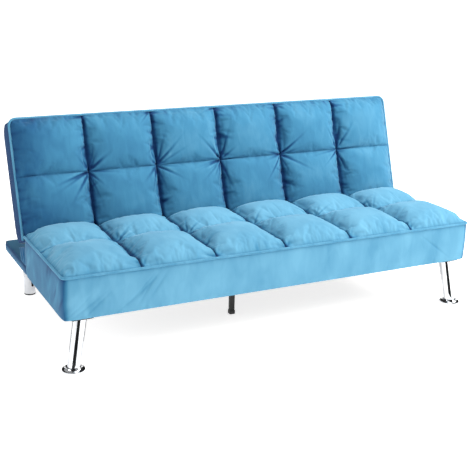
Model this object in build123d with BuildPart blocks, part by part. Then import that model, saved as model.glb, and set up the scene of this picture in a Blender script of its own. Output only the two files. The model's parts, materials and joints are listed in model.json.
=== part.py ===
"""Futon sofa bed with a click-clack back: the seat and its rear platform stand on five
legs, and the back turns on two ratchet hinges from sitting upright to lying flat.

Frame: origin on the floor at the centre of the footprint, +X along the length,
+Y from the front edge towards the rear, +Z up. All sizes are in millimetres.
"""
from math import cos, radians, sin, hypot
import os

from build123d import *

os.makedirs("parts", exist_ok=True)

# ---- driving dimensions -------------------------------------------------------------
LENGTH = 1800.0               # over the welts
DEPTH = 900.0                 # front feet to the rear of the platform
FOOT_OVERHANG = 16.0          # front feet stand this far ahead of the seat
UNDERSIDE_Z = 205.0
SEAT_EDGE_Z = 365.0           # height of the welt round the seat
SEAT_DEPTH = 525.0
CROWN = 20.0                  # rise of a cushion above its welt
CROWN_RUN = 60.0              # width of the sloping margin of a cushion
SEAT_CORNER_R = 20.0
BACK_CORNER_R = 28.0
SKIN = 3.0                    # cover and its thin wadding
WELT_R = 4.5
WELT_STOP = 16.0              # welts stop short of the edges that meet at the hinge
PLATFORM_TOP_Z = 240.0
LEAN = 18.8                   # back from upright, degrees
BACK_LENGTH = 499.0
BACK_THICKNESS = 112.0
BACK_HEEL = (533.0, 329.0)    # lower front corner of the back: behind the seat front, height
BED_SHIFT = 3.0               # the heel moves back this far when the bed is flat

# ---- derived places -----------------------------------------------------------------
SEAT_FRONT_Y = FOOT_OVERHANG - DEPTH / 2
PLATFORM_DEPTH = DEPTH - FOOT_OVERHANG - SEAT_DEPTH
COVER_HALF = LENGTH / 2 - WELT_R
SEAT_MID_Y = SEAT_FRONT_Y + SEAT_DEPTH / 2
SEAT_PLANE = Plane(origin=(0, SEAT_MID_Y, SEAT_EDGE_Z))
UP = (0.0, sin(radians(LEAN)), cos(radians(LEAN)))
FORWARD = (0.0, -cos(radians(LEAN)), sin(radians(LEAN)))
HEEL_Y = SEAT_FRONT_Y + BACK_HEEL[0]
HEEL_Z = BACK_HEEL[1]
BACK_PLANE = Plane(origin=(0, HEEL_Y, HEEL_Z), x_dir=(1, 0, 0), z_dir=FORWARD)
BACK_MID_PLANE = Plane(
    origin=(0, HEEL_Y + UP[1] * BACK_LENGTH / 2, HEEL_Z + UP[2] * BACK_LENGTH / 2),
    x_dir=(1, 0, 0),
    z_dir=FORWARD,
)

# The pivot is the one point that turns the back's face from its lean to level with the
# seat's welt, with the heel moved back by BED_SHIFT.
RISE = SEAT_EDGE_Z - HEEL_Z
TURN = UP[2] ** 2 + (1 - UP[1]) ** 2
PIVOT_UP = (RISE * UP[2] - BED_SHIFT * (1 - UP[1])) / TURN
PIVOT_IN = (RISE * (1 - UP[1]) + BED_SHIFT * UP[2]) / TURN
PIVOT_Y = HEEL_Y + PIVOT_UP * UP[1] - PIVOT_IN * FORWARD[1]
PIVOT_Z = HEEL_Z + PIVOT_UP * UP[2] - PIVOT_IN * FORWARD[2]

# ---- timber frame -------------------------------------------------------------------
RAIL_TOP_Z = 233.0
DECK_T = 4.0
BOARD_TOP_Z = 305.0
BOARD_T = 22.0
RAIL_W = 45.0
RAIL_OUT = 888.0              # outer faces of the side rails, from the middle
BOARD_OUT = 888.0
FRAME_GAP = 9.0               # frame to the outside of the cover, front and rear
CENTRE_LEG = (-90.0, 284.0)   # along the length, behind the seat front
BACK_RAIL_IN = 60.0           # face of the back to its rails
BACK_RAIL_D = 45.0
BACK_RAIL_W = 28.0
BACK_RAIL_OUT = 888.0

# ---- springs, pads ------------------------------------------------------------------
WIRE_R = 1.9
SPRING_HALF = 24.0            # half width of a zigzag
SPRING_PITCH = 25.0
SPRING_BEND_R = 9.0
SEAT_SPRINGS = 12
SEAT_SPRING_GAP = 136.0
BACK_SPRINGS = 10
BACK_SPRING_GAP = 164.0
FELT_T = 4.0
FELT_Z = BOARD_TOP_Z + 2 * WIRE_R + 1.0
FOAM_Z = FELT_Z + FELT_T
FOAM_CLEAR = 0.4

# ---- hinge hardware (measured outwards from the middle of the length) ---------------
RATCHET_X = 852.0
PLATE_T = 4.0
BACK_ARM_X = RATCHET_X + PLATE_T
SEAT_ARM_X = BACK_ARM_X + PLATE_T + 2.0
RATCHET_R = 28.0
RATCHET_ROOT_R = 24.0
RATCHET_TEETH = 24
PIN_R = 6.0
RUNNING = 0.05
PAWL_PIVOT = (500.0, 331.0)   # behind the seat front, height
PAWL_TIP_CLEAR = 0.6
PAWL_PIN_R = 4.0
SLOT_IN = 846.0               # slots for the hinge in covers and foam
SLOT_OUT = 873.0
NOTCH = 56.0

# ---- legs ---------------------------------------------------------------------------
LEG_R = 24.5
LEG_WALL = 1.6
FOOT_R = 42.5
FRONT_FOOT = (857.0, 26.5)
FRONT_LEG_TOP = (821.0, 46.0)
REAR_LEG = (804.0, 831.0)
PLATE_Z = 199.5
PLATE_TOP_Z = 203.5
LEG_PLATE = 84.0
GLIDE_T = 2.0
FOOT_SEAT_Z = 8.0
CENTRE_TUBE = 20.0


def at(distance: float) -> float:
    """Y of a point this far behind the seat's front face."""
    return SEAT_FRONT_Y + distance


def save(part: Part, label: str) -> None:
    """Label a finished piece and write it."""
    part.label = label
    export_step(part, f"parts/{label}.step")


def bar(x: tuple, y: tuple, z: tuple) -> Part:
    """A straight rectangular piece between two limits on each axis."""
    with BuildPart() as piece:
        with BuildSketch(Plane.XY.offset(z[0])):
            with Locations(((x[0] + x[1]) / 2, (y[0] + y[1]) / 2)):
                Rectangle(x[1] - x[0], y[1] - y[0])
        extrude(amount=z[1] - z[0])
    return piece.part


def back_bar(x: tuple, up: tuple, inward: tuple) -> Part:
    """The same in the back's own plane: along it, up it, and in from its face."""
    with BuildPart() as piece:
        with BuildSketch(BACK_PLANE.offset(-inward[1])):
            with Locations(((x[0] + x[1]) / 2, (up[0] + up[1]) / 2)):
                Rectangle(x[1] - x[0], up[1] - up[0])
        extrude(amount=inward[1] - inward[0])
    return piece.part


def cushion(plane: Plane, depth: float, low: float, corner: float, inset: float) -> Part:
    """A crowned block below and above its welt plane, drawn in by inset on every side."""
    width = 2 * (COVER_HALF - inset)
    span = depth - 2 * inset
    radius = corner - inset
    with BuildPart() as block:
        with BuildSketch(plane.offset(low)):
            RectangleRounded(width, span, radius)
        extrude(amount=-inset - low)
        with BuildSketch(plane.offset(-inset)):
            RectangleRounded(width, span, radius)
        with BuildSketch(plane.offset(CROWN - inset)):
            RectangleRounded(width - 2 * CROWN_RUN, span - 2 * CROWN_RUN, radius)
        loft(ruled=True)
    return block.part


def welt(plane: Plane, depth: float, corner: float, filled: Part) -> Part:
    """A cord round three sides of a cushion, cut back to the cushion's own surface."""
    half = depth / 2
    with BuildPart() as cord:
        with BuildLine(plane) as route:
            FilletPolyline(
                (-COVER_HALF, half - WELT_STOP),
                (-COVER_HALF, -half),
                (COVER_HALF, -half),
                (COVER_HALF, half - WELT_STOP),
                radius=corner,
            )
        with BuildSketch(Plane(origin=route.line @ 0, z_dir=route.line % 0)):
            Circle(WELT_R)
        sweep()
        add(filled, mode=Mode.SUBTRACT)
    return cord.part


def zigzag(plane: Plane, length: float, count: int, gap: float) -> Part:
    """Sinuous springs side by side, each a wire bent to and fro along its length."""
    bends = int(length // SPRING_PITCH)
    start = -bends * SPRING_PITCH / 2
    points = [(SPRING_HALF * (-1) ** step, start + step * SPRING_PITCH) for step in range(bends + 1)]
    with BuildPart() as wire:
        with BuildLine(plane) as route:
            FilletPolyline(*points, radius=SPRING_BEND_R)
        with BuildSketch(Plane(origin=route.line @ 0, z_dir=route.line % 0)):
            Circle(WIRE_R)
        sweep()
    with BuildPart() as springs:
        with Locations([(gap * (index - (count - 1) / 2), 0, 0) for index in range(count)]):
            add(wire.part)
    return springs.part


# ---- platform frame -----------------------------------------------------------------
PLATFORM_REAR = SEAT_DEPTH + PLATFORM_DEPTH
rail_z = (UNDERSIDE_Z, RAIL_TOP_Z)
rail_inner = RAIL_OUT - RAIL_W
for side, label in ((-1, "left"), (1, "right")):
    edges = sorted((side * rail_inner, side * RAIL_OUT))
    save(bar(edges, (at(FRAME_GAP), at(PLATFORM_REAR - FRAME_GAP)), rail_z), f"base_{label}_rail")

cross_rails = {
    "base_front_rail": FRAME_GAP,
    "base_centre_rail": CENTRE_LEG[1] - RAIL_W / 2,
    "base_rear_rail": PLATFORM_REAR - FRAME_GAP - RAIL_W,
}
for label, start in cross_rails.items():
    save(bar((-rail_inner, rail_inner), (at(start), at(start + RAIL_W)), rail_z), label)

BLOCK = 70.0
with BuildPart() as corner_blocks:
    for side in (-1, 1):
        for start in (FRAME_GAP + RAIL_W, PLATFORM_REAR - FRAME_GAP - RAIL_W - BLOCK):
            edges = sorted((side * (rail_inner - BLOCK), side * rail_inner))
            add(bar(edges, (at(start), at(start + BLOCK)), rail_z))
save(corner_blocks.part, "corner_blocks")

deck_z = (RAIL_TOP_Z, RAIL_TOP_Z + DECK_T)
deck_y = (at(FRAME_GAP), at(PLATFORM_REAR - FRAME_GAP))
save(bar((-RAIL_OUT, RAIL_OUT), deck_y, deck_z), "base_deck")

# ---- seat box -----------------------------------------------------------------------
board_z = (deck_z[1], BOARD_TOP_Z)
board_inner = BOARD_OUT - BOARD_T
seat_rear = SEAT_DEPTH - FRAME_GAP
for side, label in ((-1, "left"), (1, "right")):
    edges = sorted((side * board_inner, side * BOARD_OUT))
    save(bar(edges, (at(FRAME_GAP), at(seat_rear)), board_z), f"seat_{label}_board")
front_board_y = (at(FRAME_GAP), at(FRAME_GAP + BOARD_T))
rear_board_y = (at(seat_rear - BOARD_T), at(seat_rear))
save(bar((-board_inner, board_inner), front_board_y, board_z), "seat_front_board")
save(bar((-SLOT_IN, SLOT_IN), rear_board_y, board_z), "seat_rear_board")
CENTRE_BOARD_TOP_Z = 285.0
centre_y = (front_board_y[1], rear_board_y[0])
save(bar((-BOARD_T / 2, BOARD_T / 2), centre_y, (board_z[0], CENTRE_BOARD_TOP_Z)), "seat_centre_board")

# ---- seat springs, pad, foam, cover --------------------------------------------------
SPRING_SPAN = SEAT_DEPTH - 2 * FRAME_GAP - BOARD_T
seat_spring_plane = Plane(origin=(0, SEAT_MID_Y, BOARD_TOP_Z + WIRE_R))
save(zigzag(seat_spring_plane, SPRING_SPAN, SEAT_SPRINGS, SEAT_SPRING_GAP), "seat_springs")
felt_y = (at(FRAME_GAP), at(seat_rear))
save(bar((-SLOT_IN, SLOT_IN), felt_y, (FELT_Z, FOAM_Z)), "seat_felt_pad")

seat_low = UNDERSIDE_Z - SEAT_EDGE_Z
seat_solid = cushion(SEAT_PLANE, SEAT_DEPTH, seat_low, SEAT_CORNER_R, 0.0)
seat_inside = cushion(SEAT_PLANE, SEAT_DEPTH, seat_low, SEAT_CORNER_R, SKIN)
seat_filling = cushion(SEAT_PLANE, SEAT_DEPTH, FOAM_Z - SEAT_EDGE_Z, SEAT_CORNER_R, SKIN + FOAM_CLEAR)
SLOT_TOP_Z = 357.0
SLOT_FRONT = 395.0
SLOT_LOW_Z = 262.0
ARM_SLOT_FRONT = 480.0
with BuildPart() as seat_foam:
    add(seat_filling)
    for side in (-1, 1):
        edges = sorted((side * SLOT_IN, side * SLOT_OUT))
        slot = bar(edges, (at(SLOT_FRONT), at(SEAT_DEPTH)), (FOAM_Z - 1, SLOT_TOP_Z))
        add(slot, mode=Mode.SUBTRACT)
save(seat_foam.part, "seat_foam")

with BuildPart() as seat_cover:
    add(seat_solid)
    add(seat_inside, mode=Mode.SUBTRACT)
    for side in (-1, 1):
        edges = sorted((side * SLOT_IN, side * SLOT_OUT))
        slot = bar(edges, (at(ARM_SLOT_FRONT), at(SEAT_DEPTH + 1)), (SLOT_LOW_Z, SLOT_TOP_Z))
        add(slot, mode=Mode.SUBTRACT)
    inner_x = COVER_HALF - SKIN
    rear_gap = (at(SEAT_DEPTH - SEAT_CORNER_R), at(SEAT_DEPTH + 1))
    add(bar((-inner_x, inner_x), rear_gap, (UNDERSIDE_Z, deck_z[1])), mode=Mode.SUBTRACT)
save(seat_cover.part, "seat_cover")
save(welt(SEAT_PLANE, SEAT_DEPTH, SEAT_CORNER_R, seat_solid), "seat_piping")

# ---- platform cover and dust cover ---------------------------------------------------
platform_y = (at(SEAT_DEPTH), at(PLATFORM_REAR))
with BuildPart() as base_cover:
    add(bar((-COVER_HALF, COVER_HALF), platform_y, (UNDERSIDE_Z, PLATFORM_TOP_Z)))
    fillet(base_cover.edges().filter_by(Axis.Z).group_by(Axis.Y)[-1], SEAT_CORNER_R)
    hollow_x = COVER_HALF - SKIN
    hollow_y = (platform_y[0], platform_y[1] - SKIN)
    hollow_z = (UNDERSIDE_Z, PLATFORM_TOP_Z - SKIN)
    add(bar((-hollow_x, hollow_x), hollow_y, hollow_z), mode=Mode.SUBTRACT)
save(base_cover.part, "base_cover")

DUST_MARGIN = 10.0
dust_x = COVER_HALF - DUST_MARGIN
dust_y = (at(DUST_MARGIN), at(PLATFORM_REAR - DUST_MARGIN))
plate_centres = [
    (side * x, at(y))
    for x, y in ((FRONT_LEG_TOP[0] + 2, FRONT_LEG_TOP[1] + 2), REAR_LEG)
    for side in (-1, 1)
]
SCREW_GAP = 62.0
SCREW_R = 2.4
with BuildPart() as dust_cover:
    add(bar((-dust_x, dust_x), dust_y, (PLATE_TOP_Z, UNDERSIDE_Z)))
    with Locations(Plane.XY.offset(UNDERSIDE_Z)):
        for x, y in plate_centres:
            with Locations((x, y)):
                with GridLocations(SCREW_GAP, SCREW_GAP, 2, 2):
                    Hole(SCREW_R)
save(dust_cover.part, "dust_cover")

# ---- legs ---------------------------------------------------------------------------
with BuildPart() as leg_plates:
    for x, y in plate_centres:
        with BuildSketch(Plane.XY.offset(PLATE_Z)):
            with Locations((x, y)):
                RectangleRounded(LEG_PLATE, LEG_PLATE, 8)
                with GridLocations(SCREW_GAP, SCREW_GAP, 2, 2):
                    Circle(SCREW_R, mode=Mode.SUBTRACT)
        extrude(amount=PLATE_TOP_Z - PLATE_Z)
save(leg_plates.part, "leg_plates")

SCREW_HEAD_T = 2.5
SCREW_LENGTH = 22.0
with BuildPart() as leg_screws:
    for x, y in plate_centres:
        with BuildSketch(Plane.XY.offset(PLATE_Z - SCREW_HEAD_T)):
            with Locations((x, y)):
                with GridLocations(SCREW_GAP, SCREW_GAP, 2, 2):
                    Circle(2 * SCREW_R)
        extrude(amount=SCREW_HEAD_T)
        with BuildSketch(Plane.XY.offset(PLATE_Z)):
            with Locations((x, y)):
                with GridLocations(SCREW_GAP, SCREW_GAP, 2, 2):
                    Circle(SCREW_R)
        extrude(amount=SCREW_LENGTH)
save(leg_screws.part, "leg_screws")


def splayed_rod(side: int, radius: float) -> Part:
    """A round rod on a front leg's leaning axis, cut level at the foot and the plate."""
    foot = Vector(side * FRONT_FOOT[0], at(FRONT_FOOT[1]), FOOT_SEAT_Z)
    top = Vector(side * FRONT_LEG_TOP[0], at(FRONT_LEG_TOP[1]), PLATE_Z)
    lean = top - foot
    spare = 2 * radius
    with BuildPart() as rod:
        with BuildSketch(Plane(origin=foot - lean.normalized() * spare, z_dir=lean)):
            Circle(radius)
        extrude(amount=lean.length + 2 * spare)
        split(bisect_by=Plane.XY.offset(PLATE_Z), keep=Keep.BOTTOM)
        split(bisect_by=Plane.XY.offset(FOOT_SEAT_Z), keep=Keep.TOP)
    return rod.part


def front_leg(side: int, label: str) -> None:
    """Leaning chrome tube, its flared disc foot and the pad under the foot."""
    tube = splayed_rod(side, LEG_R)
    with BuildPart() as leg:
        add(tube)
        add(splayed_rod(side, LEG_R - LEG_WALL), mode=Mode.SUBTRACT)
    save(leg.part, f"front_{label}_leg")

    rim_z = 6.5
    collar_z = 17.0
    collar_r = 29.0
    middle = (side * FRONT_FOOT[0], at(FRONT_FOOT[1]))
    with BuildPart() as foot:
        with BuildSketch(Plane(origin=(*middle, 0), x_dir=(1, 0, 0), z_dir=(0, -1, 0))):
            with BuildLine():
                Polyline((0, collar_z), (0, GLIDE_T), (FOOT_R, GLIDE_T), (FOOT_R, rim_z))
                ThreePointArc((FOOT_R, rim_z), (33.5, 10.0), (collar_r, collar_z))
                Line((collar_r, collar_z), (0, collar_z))
            make_face()
        revolve(axis=Axis((*middle, 0), (0, 0, 1)))
        add(tube, mode=Mode.SUBTRACT)
    save(foot.part, f"front_{label}_foot")

    with BuildPart() as glide:
        with BuildSketch():
            with Locations(middle):
                Circle(FOOT_R - 2.5)
        extrude(amount=GLIDE_T)
    save(glide.part, f"front_{label}_glide")


def rear_leg(side: int, label: str) -> None:
    """Upright chrome tube with a plastic end cap that it stands on."""
    middle = (side * REAR_LEG[0], at(REAR_LEG[1]))
    cap_z = 6.0
    plug_z = 24.0
    bore = LEG_R - LEG_WALL
    with BuildPart() as leg:
        with BuildSketch(Plane.XY.offset(cap_z)):
            with Locations(middle):
                Circle(LEG_R)
                Circle(bore, mode=Mode.SUBTRACT)
        extrude(amount=PLATE_Z - cap_z)
    save(leg.part, f"rear_{label}_leg")
    with BuildPart() as cap:
        with BuildSketch():
            with Locations(middle):
                Circle(LEG_R)
        extrude(amount=cap_z)
        with BuildSketch(Plane.XY.offset(cap_z)):
            with Locations(middle):
                Circle(bore)
        extrude(amount=plug_z - cap_z)
    save(cap.part, f"rear_{label}_glide")


for leg_side, leg_label in ((-1, "left"), (1, "right")):
    front_leg(leg_side, leg_label)
    rear_leg(leg_side, leg_label)

# ---- centre leg ---------------------------------------------------------------------
centre_x = CENTRE_LEG[0]
centre_leg_y = at(CENTRE_LEG[1])
CAP_FLOOR = 4.0
CAP_TOP = 15.0
BOLT_Z = 182.0
BOLT_R = 3.0
EAR_T = 3.0
EAR_LOW_Z = 166.0
BRACKET = (60.0, 70.0)
half_tube = CENTRE_TUBE / 2
with BuildPart() as centre_leg:
    with BuildSketch(Plane.XY.offset(CAP_FLOOR)):
        with Locations((centre_x, centre_leg_y)):
            RectangleRounded(CENTRE_TUBE, CENTRE_TUBE, 2)
            RectangleRounded(CENTRE_TUBE - 3, CENTRE_TUBE - 3, 1, mode=Mode.SUBTRACT)
    extrude(amount=PLATE_Z - CAP_FLOOR)
    with BuildSketch(Plane.XZ.offset(-centre_leg_y)):
        with Locations((centre_x, BOLT_Z)):
            Circle(BOLT_R)
    extrude(amount=CENTRE_TUBE, both=True, mode=Mode.SUBTRACT)
save(centre_leg.part, "centre_leg")

with BuildPart() as centre_leg_cap:
    with BuildSketch():
        with Locations((centre_x, centre_leg_y)):
            RectangleRounded(CENTRE_TUBE + 4, CENTRE_TUBE + 4, 3)
    extrude(amount=CAP_TOP)
    with BuildSketch(Plane.XY.offset(CAP_FLOOR)):
        with Locations((centre_x, centre_leg_y)):
            RectangleRounded(CENTRE_TUBE, CENTRE_TUBE, 2)
    extrude(amount=CAP_TOP, mode=Mode.SUBTRACT)
save(centre_leg_cap.part, "centre_leg_cap")

with BuildPart() as centre_leg_bracket:
    with BuildSketch(Plane.XY.offset(PLATE_Z)):
        with Locations((centre_x, centre_leg_y)):
            RectangleRounded(*BRACKET, 6)
            with GridLocations(0, BRACKET[1] - 18, 1, 2):
                Circle(SCREW_R, mode=Mode.SUBTRACT)
    extrude(amount=PLATE_TOP_Z - PLATE_Z)
    with BuildSketch(Plane.XY.offset(EAR_LOW_Z)):
        with Locations((centre_x, centre_leg_y)):
            with GridLocations(0, CENTRE_TUBE + EAR_T, 1, 2):
                Rectangle(CENTRE_TUBE + 4, EAR_T)
    extrude(amount=PLATE_Z - EAR_LOW_Z)
    with BuildSketch(Plane.XZ.offset(-centre_leg_y)):
        with Locations((centre_x, BOLT_Z)):
            Circle(BOLT_R)
    extrude(amount=CENTRE_TUBE, both=True, mode=Mode.SUBTRACT)
save(centre_leg_bracket.part, "centre_leg_bracket")

HEAD_T = 3.5
grip = half_tube + EAR_T
with BuildPart() as centre_leg_bolt:
    with BuildSketch(Plane.XZ.offset(-centre_leg_y - grip)):
        with Locations((centre_x, BOLT_Z)):
            Circle(BOLT_R)
    extrude(amount=2 * grip)
    with BuildSketch(Plane.XZ.offset(-centre_leg_y + grip)):
        with Locations((centre_x, BOLT_Z)):
            Circle(2 * BOLT_R)
    extrude(amount=HEAD_T)
    with BuildSketch(Plane.XZ.offset(-centre_leg_y - grip)):
        with Locations((centre_x, BOLT_Z)):
            RegularPolygon(2 * BOLT_R, 6)
    extrude(amount=-HEAD_T)
save(centre_leg_bolt.part, "centre_leg_bolt")

# ---- back ---------------------------------------------------------------------------
back_inner = BACK_RAIL_OUT - BACK_RAIL_W
back_in = (BACK_RAIL_IN, BACK_RAIL_IN + BACK_RAIL_D)
BACK_RAIL_LOW = 40.0
BACK_FRAME_LOW = 12.0
BACK_FRAME_HIGH = BACK_LENGTH - 17.0
for side, label in ((-1, "left"), (1, "right")):
    edges = sorted((side * back_inner, side * BACK_RAIL_OUT))
    save(back_bar(edges, (BACK_RAIL_LOW, BACK_FRAME_HIGH), back_in), f"back_{label}_rail")
across = (-back_inner, back_inner)
top_up = (BACK_FRAME_HIGH - BACK_RAIL_W, BACK_FRAME_HIGH)
bottom_up = (BACK_FRAME_LOW, BACK_FRAME_LOW + BACK_RAIL_W + 10)
save(back_bar(across, top_up, back_in), "back_top_rail")
save(back_bar(across, bottom_up, back_in), "back_bottom_rail")
centre_in = (back_in[0] + 15, back_in[1])
save(back_bar((-14, 14), (bottom_up[1], top_up[0]), centre_in), "back_centre_rail")

spring_low = bottom_up[0] + BACK_RAIL_W / 2
spring_high = top_up[0] + BACK_RAIL_W / 2
spring_mid = (spring_low + spring_high) / 2
back_spring_plane = Plane(
    origin=BACK_PLANE.from_local_coords((0, spring_mid, WIRE_R - BACK_RAIL_IN)),
    x_dir=(1, 0, 0),
    z_dir=FORWARD,
)
save(zigzag(back_spring_plane, spring_high - spring_low, BACK_SPRINGS, BACK_SPRING_GAP), "back_springs")

PANEL_T = 3.0
panel_x = COVER_HALF - SKIN - 0.5
panel_in = (BACK_THICKNESS - PANEL_T, BACK_THICKNESS)
with BuildPart() as back_rear_panel:
    add(back_bar((-panel_x, panel_x), (SKIN + 0.5, BACK_LENGTH - SKIN - 0.5), panel_in))
    fillet(back_rear_panel.edges().filter_by(Axis(BACK_PLANE.origin, FORWARD)), BACK_CORNER_R - SKIN)
save(back_rear_panel.part, "back_rear_panel")

back_solid = cushion(BACK_MID_PLANE, BACK_LENGTH, -BACK_THICKNESS, BACK_CORNER_R, 0.0)
back_inside = cushion(BACK_MID_PLANE, BACK_LENGTH, -BACK_THICKNESS, BACK_CORNER_R, SKIN)
foam_low = 2 * WIRE_R + 1 - BACK_RAIL_IN
back_filling = cushion(BACK_MID_PLANE, BACK_LENGTH, foam_low, BACK_CORNER_R, SKIN + FOAM_CLEAR)
FOAM_NOTCH = 84.0
with BuildPart() as back_foam:
    add(back_filling)
    for side in (-1, 1):
        edges = sorted((side * SLOT_IN, side * SLOT_OUT))
        notch = back_bar(edges, (0, FOAM_NOTCH), (-CROWN, BACK_RAIL_IN))
        add(notch, mode=Mode.SUBTRACT)
save(back_foam.part, "back_foam")

with BuildPart() as back_cover:
    add(back_solid)
    add(back_inside, mode=Mode.SUBTRACT)
    for side in (-1, 1):
        edges = sorted((side * SLOT_IN, side * SLOT_OUT))
        notch = back_bar(edges, (-1, NOTCH), (-CROWN, NOTCH))
        add(notch, mode=Mode.SUBTRACT)
save(back_cover.part, "back_cover")
upside_down = Plane(origin=BACK_MID_PLANE.origin, x_dir=(-1, 0, 0), z_dir=FORWARD)
save(welt(upside_down, BACK_LENGTH, BACK_CORNER_R, back_solid), "back_piping")


# ---- hinges -------------------------------------------------------------------------
def side_plane(side: int, distance: float) -> Plane:
    """Sketch plane across the length with local x to the rear and local y up."""
    return Plane(origin=(side * distance, 0, 0), x_dir=(0, 1, 0), z_dir=(1, 0, 0))


ARM_EYE_R = 15.0
pivot = (PIVOT_Y, PIVOT_Z)
pawl_pivot = (at(PAWL_PIVOT[0]), PAWL_PIVOT[1])
seat_arm_outline = [
    (at(372), 248),
    (at(462), 248),
    (at(512), 321),
    (PIVOT_Y + 3, PIVOT_Z - 14),
    (PIVOT_Y - 3, PIVOT_Z + 14),
    (at(492), 347),
    (at(372), 298),
    (at(372), 248),
]
seat_bolts = [(at(394), 272), (at(440), 272)]
back_arm_local = [(34, 11), (76, 60), (232, 66), (232, 98), (97, 98), (13, 29)]
back_bolts_local = [(110, 82), (205, 82)]
ARM_BOLT_R = 4.0


def from_back(up: float, inward: float) -> tuple:
    """Y and Z of a point given up the back and in from its face."""
    point = BACK_PLANE.from_local_coords((0, up, -inward))
    return (point.Y, point.Z)


def hinge(side: int, label: str) -> None:
    """One side's fixed arm, moving arm, ratchet, pin and sprung pawl."""
    with BuildPart() as seat_arm:
        with BuildSketch(side_plane(side, SEAT_ARM_X)):
            with BuildLine():
                Polyline(*seat_arm_outline)
            make_face()
            with Locations(pivot):
                Circle(ARM_EYE_R)
                Circle(PIN_R, mode=Mode.SUBTRACT)
            with Locations(pawl_pivot):
                Circle(PAWL_PIN_R, mode=Mode.SUBTRACT)
            with Locations(*seat_bolts):
                Circle(ARM_BOLT_R, mode=Mode.SUBTRACT)
        extrude(amount=side * PLATE_T)
    save(seat_arm.part, f"{label}_seat_arm")

    outline = [from_back(*point) for point in back_arm_local]
    with BuildPart() as back_arm:
        with BuildSketch(side_plane(side, BACK_ARM_X)):
            with BuildLine():
                Polyline(*outline, outline[0])
            make_face()
            with Locations(pivot):
                Circle(ARM_EYE_R)
                Circle(PIN_R + RUNNING, mode=Mode.SUBTRACT)
            with Locations(*[from_back(*point) for point in back_bolts_local]):
                Circle(ARM_BOLT_R, mode=Mode.SUBTRACT)
        extrude(amount=side * PLATE_T)
    save(back_arm.part, f"{label}_back_arm")

    tooth = 360 / RATCHET_TEETH
    with BuildPart() as ratchet:
        with BuildSketch(side_plane(side, RATCHET_X)):
            with Locations(pivot):
                Circle(RATCHET_ROOT_R)
                with PolarLocations(0, RATCHET_TEETH, start_angle=tooth / 2):
                    Polygon(
                        (RATCHET_ROOT_R - 1, -2.6),
                        (RATCHET_R - 0.3, -1.2),
                        (RATCHET_R - 0.3, 0.4),
                        (RATCHET_ROOT_R - 1, 2.6),
                        align=None,
                    )
                Circle(PIN_R + RUNNING, mode=Mode.SUBTRACT)
        extrude(amount=side * PLATE_T)
    save(ratchet.part, f"{label}_ratchet")

    pin_inner = RATCHET_X - 0.5
    pin_outer = SEAT_ARM_X + PLATE_T
    rivet_t = 2.5
    with BuildPart() as pin:
        with BuildSketch(side_plane(side, pin_inner)):
            with Locations(pivot):
                Circle(PIN_R)
        extrude(amount=side * (pin_outer - pin_inner))
        for start, thickness in ((pin_outer, rivet_t), (pin_inner, -rivet_t)):
            with BuildSketch(side_plane(side, start)):
                with Locations(pivot):
                    Circle(PIN_R + 4)
            extrude(amount=side * thickness)
    save(pin.part, f"{label}_hinge_pin")

    toward = Vector(pivot[0] - pawl_pivot[0], pivot[1] - pawl_pivot[1], 0)
    reach = toward.length - RATCHET_R - PAWL_TIP_CLEAR
    along = toward.normalized()
    across_pawl = Vector(-along.Y, along.X, 0)
    boss_r = 9.0
    centre = Vector(*pawl_pivot, 0)
    corners = [
        centre + across_pawl * (boss_r - 1),
        centre - across_pawl * (boss_r - 1),
        centre + along * reach - across_pawl * 2,
        centre + along * reach + across_pawl * 2,
    ]
    with BuildPart() as pawl:
        with BuildSketch(side_plane(side, RATCHET_X)):
            with BuildLine():
                Polyline(*[(corner.X, corner.Y) for corner in corners], close=True)
            make_face()
            with Locations(pawl_pivot):
                Circle(boss_r)
                Circle(PAWL_PIN_R + RUNNING, mode=Mode.SUBTRACT)
        extrude(amount=side * PLATE_T)
    save(pawl.part, f"{label}_pawl")


for hinge_side, hinge_label in ((-1, "left"), (1, "right")):
    hinge(hinge_side, hinge_label)

with BuildPart() as pawl_pins:
    for side in (-1, 1):
        for start, end, radius in (
            (RATCHET_X - 2.5, RATCHET_X - 0.5, PAWL_PIN_R + 3),
            (RATCHET_X - 0.5, SEAT_ARM_X + PLATE_T, PAWL_PIN_R),
        ):
            with BuildSketch(side_plane(side, start)):
                with Locations(pawl_pivot):
                    Circle(radius)
            extrude(amount=side * (end - start))
save(pawl_pins.part, "pawl_pins")

COIL_R = 6.2
COIL_WIRE_R = 0.7
coil_start = RATCHET_X + PLATE_T + 1.2
coil_run = SEAT_ARM_X - coil_start - 1.2
with BuildPart() as pawl_springs:
    for side in (-1, 1):
        start = side * coil_start if side > 0 else side * (coil_start + coil_run)
        with BuildLine():
            coil = Helix(coil_run / 2, coil_run, COIL_R, center=(start, *pawl_pivot), direction=(1, 0, 0))
        with BuildSketch(Plane(origin=coil @ 0, z_dir=coil % 0)):
            Circle(COIL_WIRE_R)
        sweep(path=coil, is_frenet=True)
save(pawl_springs.part, "pawl_springs")


def bolts(points: list, inner: float, grip_length: float) -> Part:
    """Round-headed bolts through an arm and into the timber outside it, on both sides."""
    with BuildPart() as group:
        for side in (-1, 1):
            with BuildSketch(side_plane(side, inner - HEAD_T)):
                with Locations(*points):
                    Circle(2 * ARM_BOLT_R)
            extrude(amount=side * HEAD_T)
            with BuildSketch(side_plane(side, inner)):
                with Locations(*points):
                    Circle(ARM_BOLT_R)
            extrude(amount=side * grip_length)
    return group.part


BOLT_LENGTH = 22.0
save(bolts(seat_bolts, SEAT_ARM_X, BOLT_LENGTH), "seat_arm_bolts")
back_bolt_points = [from_back(*point) for point in back_bolts_local]
save(bolts(back_bolt_points, BACK_ARM_X, BOLT_LENGTH), "back_arm_bolts")

pivot_radius = hypot(PIVOT_UP, PIVOT_IN)
print(f"pivot y {PIVOT_Y:.2f} z {PIVOT_Z:.2f}, heel swings on a {pivot_radius:.1f} mm radius")
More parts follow.
